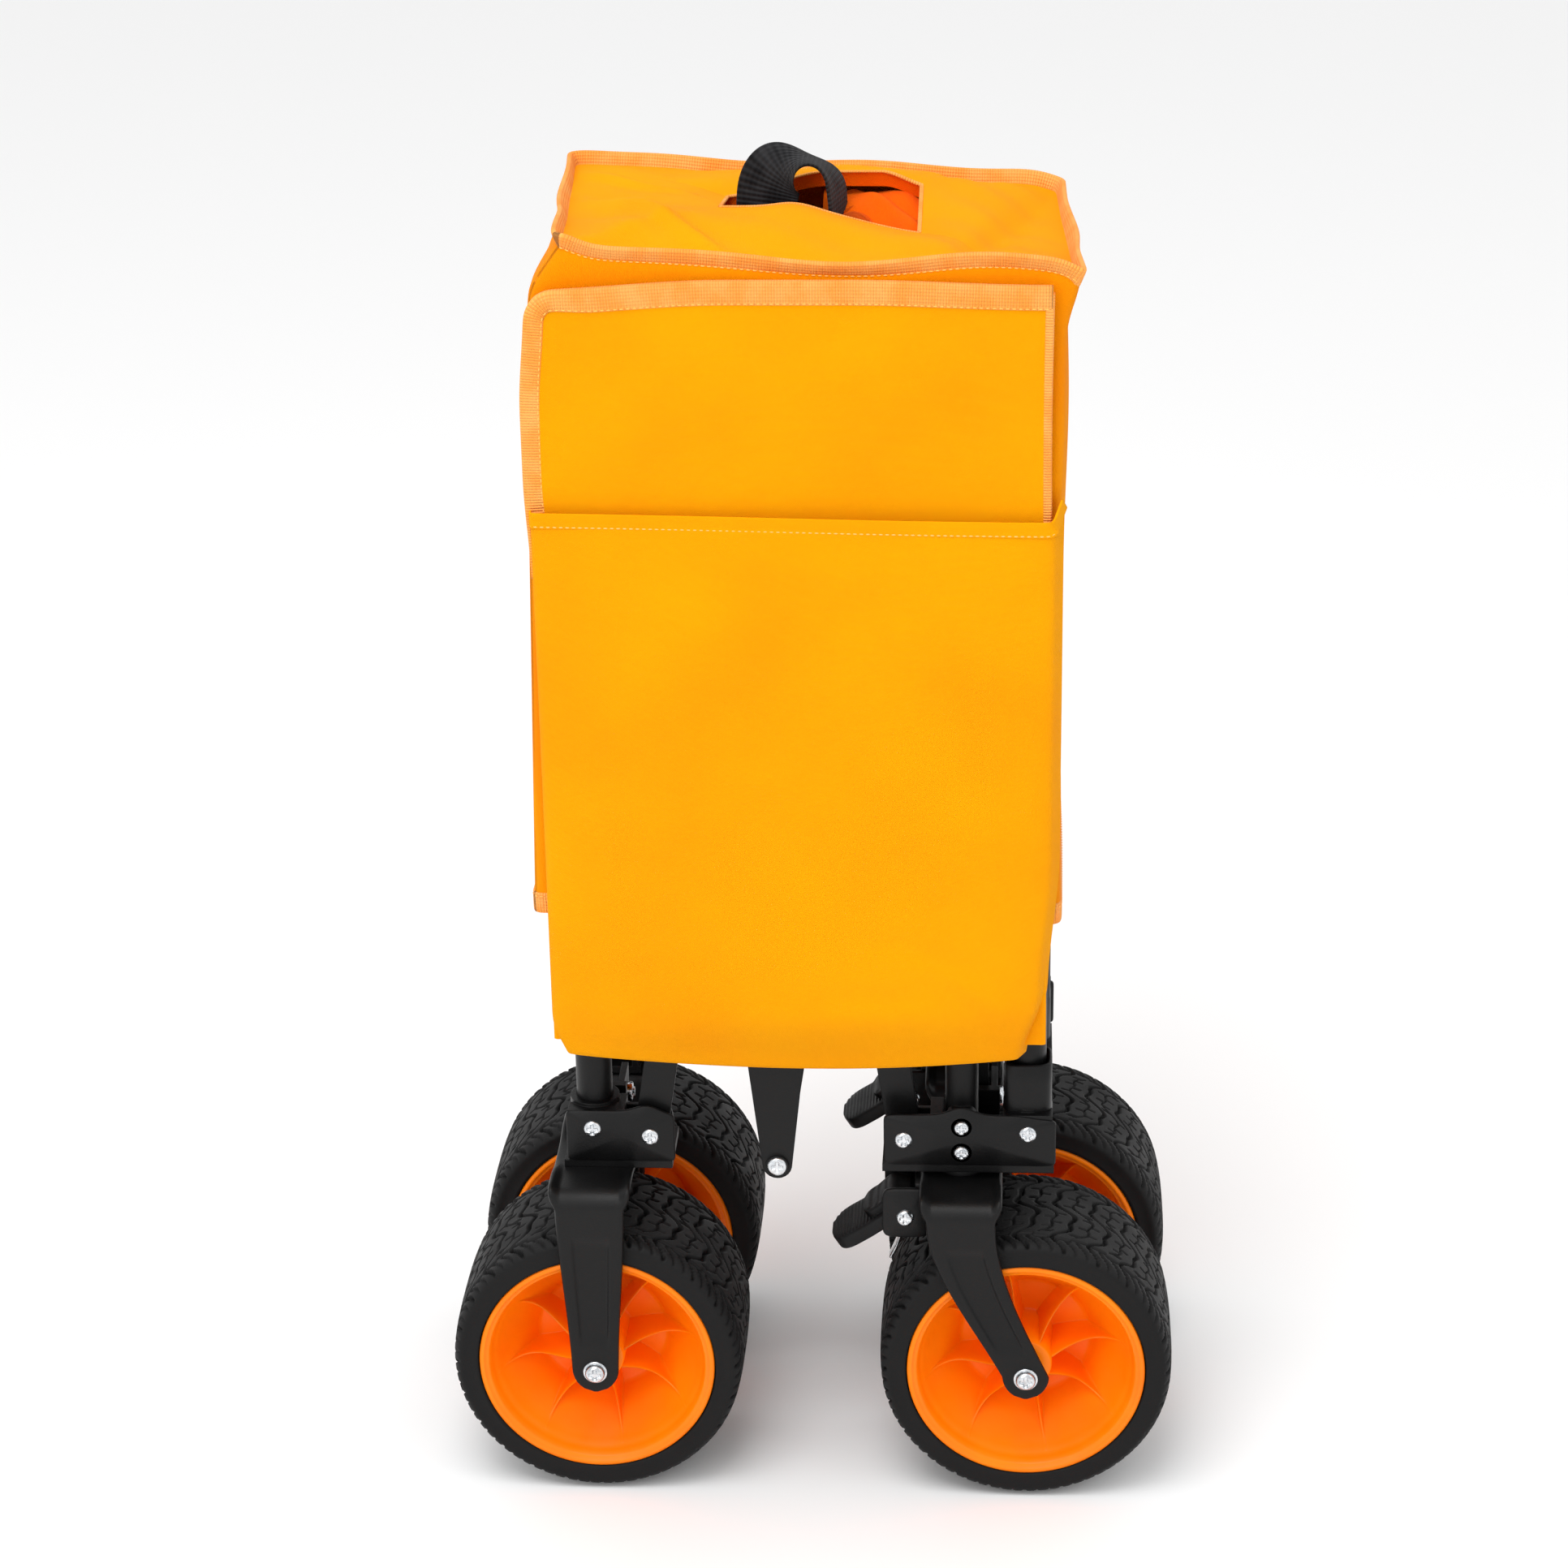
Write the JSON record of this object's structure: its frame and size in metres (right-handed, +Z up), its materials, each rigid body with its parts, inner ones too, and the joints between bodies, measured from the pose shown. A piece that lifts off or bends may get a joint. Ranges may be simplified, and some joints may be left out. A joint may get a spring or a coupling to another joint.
{
  "type": "folding utility wagon",
  "caption": "Folded utility wagon on wide wheels with a fabric storage cover, pull strap, castors and telescoping handle.",
  "frame": {"origin": "on the ground under the middle of the folded wagon", "axes": "+X to the castor end, +Y to the wagon's left side, +Z up"},
  "size_m": [0.444, 0.28, 0.813],
  "materials": {
    "tyre": "matt moulded rubber",
    "rim": "moulded orange plastic",
    "frame": "black powder coat",
    "cap": "black moulded nylon",
    "bolt": "bright zinc plate",
    "grip": "soft matt",
    "tub": "coated oxford weave",
    "strap": "ribbed webbing",
    "hood": "coated oxford weave",
    "pocket": "coated oxford weave",
    "panel": "coated oxford over stiff board"
  },
  "bodies": {
    "rear_right_corner": {"fork_rear_right": "frame", "clamp_rear_right": "frame", "bolts_rear_right": "bolt", "post_rear_right": "frame"},
    "front_right_corner": {"clamp_front_right": "frame", "bolts_front_right": "bolt", "post_front_right": "frame"},
    "front_left_corner": {"clamp_front_left": "frame", "bolts_front_left": "bolt", "post_front_left": "frame"},
    "rear_left_corner": {"fork_rear_left": "frame", "clamp_rear_left": "frame", "bolts_rear_left": "bolt", "post_rear_left": "frame"},
    "wheel_rear_right": {"tyre_rear_right": "tyre", "rim_rear_right": "rim"},
    "upper_rear_right": {"upper_post_rear_right": "frame", "top_cap_rear_right": "cap"},
    "wheel_front_right": {"tyre_front_right": "tyre", "rim_front_right": "rim"},
    "upper_front_right": {"upper_post_front_right": "frame", "top_cap_front_right": "cap"},
    "wheel_front_left": {"tyre_front_left": "tyre", "rim_front_left": "rim"},
    "upper_front_left": {"upper_post_front_left": "frame", "top_cap_front_left": "cap"},
    "wheel_rear_left": {"tyre_rear_left": "tyre", "rim_rear_left": "rim"},
    "upper_rear_left": {"upper_post_rear_left": "frame", "top_cap_rear_left": "cap"},
    "castor_right": {"fork_front_right": "frame", "axle_front_right": "bolt"},
    "brake_right": {"brake_pedal_right": "cap", "brake_blade_right": "bolt"},
    "side_bar_right_1": {"bar_right_1": "frame"},
    "side_bar_right_2": {"bar_right_2": "frame"},
    "side_bar_right_3": {"bar_right_3": "frame"},
    "side_bar_right_4": {"bar_right_4": "frame"},
    "castor_left": {"fork_front_left": "frame", "axle_front_left": "bolt"},
    "brake_left": {"brake_pedal_left": "cap", "brake_blade_left": "bolt"},
    "side_bar_left_1": {"bar_left_1": "frame"},
    "side_bar_left_2": {"bar_left_2": "frame"},
    "side_bar_left_3": {"bar_left_3": "frame"},
    "side_bar_left_4": {"bar_left_4": "frame"},
    "end_bar_rear_1": {"bar_rear_1": "frame"},
    "end_bar_rear_2": {"bar_rear_2": "frame"},
    "end_bar_front_1": {"bar_front_1": "frame"},
    "end_bar_front_2": {"bar_front_2": "frame"},
    "bracket": {"handle_bracket": "frame"},
    "handle": {"handle_lower_tube": "frame"},
    "handle_slider": {"handle_upper_tube": "frame", "handle_grip": "grip"},
    "tub": {"tub_fabric": "tub", "pull_strap": "strap"},
    "cover": {"cover_hood": "hood", "cover_pocket": "pocket"},
    "panel": {"stiff_panel": "panel"}
  },
  "joints": [
    {"name": "fold", "type": "hinge", "parent": "rear_right_corner", "child": "side_bar_right_1", "pos_m": [-0.097, -0.088, 0.235], "axis": [0, 1, 0], "range_deg": [0, 38]},
    {"name": "right_rear_cross", "type": "hinge", "parent": "side_bar_right_1", "child": "side_bar_right_2", "pos_m": [-0.0585, -0.083, 0.48202], "axis": [0, 1, 0], "range_deg": [-76, 0]},
    {"name": "right_middle_hinge", "type": "hinge", "parent": "side_bar_right_2", "child": "side_bar_right_3", "pos_m": [-0.02, -0.083, 0.235], "axis": [0, 1, 0], "range_deg": [0, 76]},
    {"name": "right_front_cross", "type": "hinge", "parent": "side_bar_right_3", "child": "side_bar_right_4", "pos_m": [0.0185, -0.083, 0.48202], "axis": [0, 1, 0], "range_deg": [-76, 0]},
    {"name": "right_front_foot", "type": "hinge", "parent": "side_bar_right_4", "child": "front_right_corner", "pos_m": [0.057, -0.078, 0.235], "axis": [0, 1, 0], "range_deg": [0, 38]},
    {"name": "right_rear_top", "type": "hinge", "parent": "side_bar_right_2", "child": "upper_rear_right", "pos_m": [-0.097, -0.078, 0.72903], "axis": [0, 1, 0], "range_deg": [0, 38]},
    {"name": "right_front_top", "type": "hinge", "parent": "side_bar_right_3", "child": "upper_front_right", "pos_m": [0.057, -0.088, 0.72903], "axis": [0, 1, 0], "range_deg": [-38, 0]},
    {"name": "left_rear_foot", "type": "hinge", "parent": "rear_left_corner", "child": "side_bar_left_1", "pos_m": [-0.097, 0.088, 0.235], "axis": [0, 1, 0], "range_deg": [0, 38]},
    {"name": "left_rear_cross", "type": "hinge", "parent": "side_bar_left_1", "child": "side_bar_left_2", "pos_m": [-0.0585, 0.083, 0.48202], "axis": [0, 1, 0], "range_deg": [-76, 0]},
    {"name": "left_middle_hinge", "type": "hinge", "parent": "side_bar_left_2", "child": "side_bar_left_3", "pos_m": [-0.02, 0.083, 0.235], "axis": [0, 1, 0], "range_deg": [0, 76]},
    {"name": "left_front_cross", "type": "hinge", "parent": "side_bar_left_3", "child": "side_bar_left_4", "pos_m": [0.0185, 0.083, 0.48202], "axis": [0, 1, 0], "range_deg": [-76, 0]},
    {"name": "left_front_foot", "type": "hinge", "parent": "side_bar_left_4", "child": "front_left_corner", "pos_m": [0.057, 0.078, 0.235], "axis": [0, 1, 0], "range_deg": [0, 38]},
    {"name": "left_front_top", "type": "hinge", "parent": "side_bar_left_3", "child": "upper_front_left", "pos_m": [0.057, 0.088, 0.72903], "axis": [0, 1, 0], "range_deg": [-38, 0]},
    {"name": "rear_right_foot", "type": "hinge", "parent": "rear_right_corner", "child": "end_bar_rear_1", "pos_m": [-0.136, -0.0385, 0.235], "axis": [-1, 0, 0], "range_deg": [0, 38]},
    {"name": "rear_cross", "type": "hinge", "parent": "end_bar_rear_1", "child": "end_bar_rear_2", "pos_m": [-0.131, 0, 0.48202], "axis": [-1, 0, 0], "range_deg": [-76, 0]},
    {"name": "rear_left_foot", "type": "hinge", "parent": "end_bar_rear_2", "child": "rear_left_corner", "pos_m": [-0.126, 0.0385, 0.235], "axis": [-1, 0, 0], "range_deg": [0, 38]},
    {"name": "rear_left_top", "type": "hinge", "parent": "end_bar_rear_1", "child": "upper_rear_left", "pos_m": [-0.136, 0.0385, 0.72903], "axis": [-1, 0, 0], "range_deg": [-38, 0]},
    {"name": "front_right_foot", "type": "hinge", "parent": "front_right_corner", "child": "end_bar_front_1", "pos_m": [0.104, -0.0385, 0.235], "axis": [-1, 0, 0], "range_deg": [0, 38]},
    {"name": "front_cross", "type": "hinge", "parent": "end_bar_front_1", "child": "end_bar_front_2", "pos_m": [0.099, 0, 0.48202], "axis": [-1, 0, 0], "range_deg": [-76, 0]},
    {"name": "bracket_pivot", "type": "hinge", "parent": "end_bar_front_1", "child": "bracket", "pos_m": [0.112, 0, 0.48202], "axis": [-1, 0, 0], "range_deg": [-38, 0]},
    {"name": "handle_swing", "type": "hinge", "parent": "bracket", "child": "handle", "pos_m": [0.127, 0, 0.29], "axis": [0, 1, 0], "range_deg": [0, 60]},
    {"name": "handle_extend", "type": "slide", "parent": "handle", "child": "handle_slider", "axis": [0, 0, 1], "range_m": [0, 0.25]},
    {"name": "tub_settle", "type": "slide", "parent": "rear_right_corner", "child": "tub", "axis": [0.8711, 0.4355, -0.227], "range_m": [0, 0.3309]},
    {"name": "cover_lift", "type": "slide", "parent": "rear_right_corner", "child": "cover", "axis": [0, 0, 1], "range_m": [0, 0.5], "deforming": ["cover_hood"]},
    {"name": "panel_slide", "type": "slide", "parent": "cover", "child": "panel", "axis": [0, 0, 1], "range_m": [0, 0.3]},
    {"name": "wheel_spin_rear_right", "type": "hinge", "parent": "rear_right_corner", "child": "wheel_rear_right", "pos_m": [-0.132, -0.078, 0.09], "axis": [0, 1, 0], "continuous": true},
    {"name": "wheel_spin_rear_left", "type": "hinge", "parent": "rear_left_corner", "child": "wheel_rear_left", "pos_m": [-0.132, 0.078, 0.09], "axis": [0, 1, 0], "continuous": true},
    {"name": "wheel_spin_front_right", "type": "hinge", "parent": "castor_right", "child": "wheel_front_right", "pos_m": [0.132, -0.078, 0.09], "axis": [0, 1, 0], "continuous": true},
    {"name": "wheel_spin_front_left", "type": "hinge", "parent": "castor_left", "child": "wheel_front_left", "pos_m": [0.132, 0.078, 0.09], "axis": [0, 1, 0], "continuous": true},
    {"name": "castor_swivel_right", "type": "hinge", "parent": "front_right_corner", "child": "castor_right", "pos_m": [0.092, -0.078, 0.211], "axis": [0, 0, 1], "range_deg": [-105, 15]},
    {"name": "brake_press_right", "type": "hinge", "parent": "castor_right", "child": "brake_right", "pos_m": [0.058, -0.078, 0.185], "axis": [0, 1, 0], "range_deg": [-10, 0]},
    {"name": "castor_swivel_left", "type": "hinge", "parent": "front_left_corner", "child": "castor_left", "pos_m": [0.092, 0.078, 0.211], "axis": [0, 0, 1], "range_deg": [-15, 105]},
    {"name": "brake_press_left", "type": "hinge", "parent": "castor_left", "child": "brake_left", "pos_m": [0.058, 0.078, 0.185], "axis": [0, 1, 0], "range_deg": [-10, 0]}
  ],
  "couplings": [
    {"joint": "right_rear_cross", "follows": "fold", "ratio": -2},
    {"joint": "right_middle_hinge", "follows": "fold", "ratio": 2},
    {"joint": "right_front_cross", "follows": "fold", "ratio": -2},
    {"joint": "right_front_foot", "follows": "fold", "ratio": 1},
    {"joint": "right_rear_top", "follows": "fold", "ratio": 1},
    {"joint": "right_front_top", "follows": "fold", "ratio": -1},
    {"joint": "left_rear_foot", "follows": "fold", "ratio": 1},
    {"joint": "left_rear_cross", "follows": "fold", "ratio": -2},
    {"joint": "left_middle_hinge", "follows": "fold", "ratio": 2},
    {"joint": "left_front_cross", "follows": "fold", "ratio": -2},
    {"joint": "left_front_foot", "follows": "fold", "ratio": 1},
    {"joint": "left_front_top", "follows": "fold", "ratio": -1},
    {"joint": "rear_right_foot", "follows": "fold", "ratio": 1},
    {"joint": "rear_cross", "follows": "fold", "ratio": -2},
    {"joint": "rear_left_foot", "follows": "fold", "ratio": 1},
    {"joint": "rear_left_top", "follows": "fold", "ratio": -1},
    {"joint": "front_right_foot", "follows": "fold", "ratio": 1},
    {"joint": "front_cross", "follows": "fold", "ratio": -2},
    {"joint": "bracket_pivot", "follows": "fold", "ratio": -1},
    {"joint": "handle_swing", "follows": "fold", "ratio": 1.578},
    {"joint": "handle_extend", "follows": "fold", "m_per_rad": 0.376},
    {"joint": "tub_settle", "follows": "fold", "m_per_rad": 0.49822},
    {"joint": "cover_lift", "follows": "fold", "m_per_rad": 0.753}
  ]
}
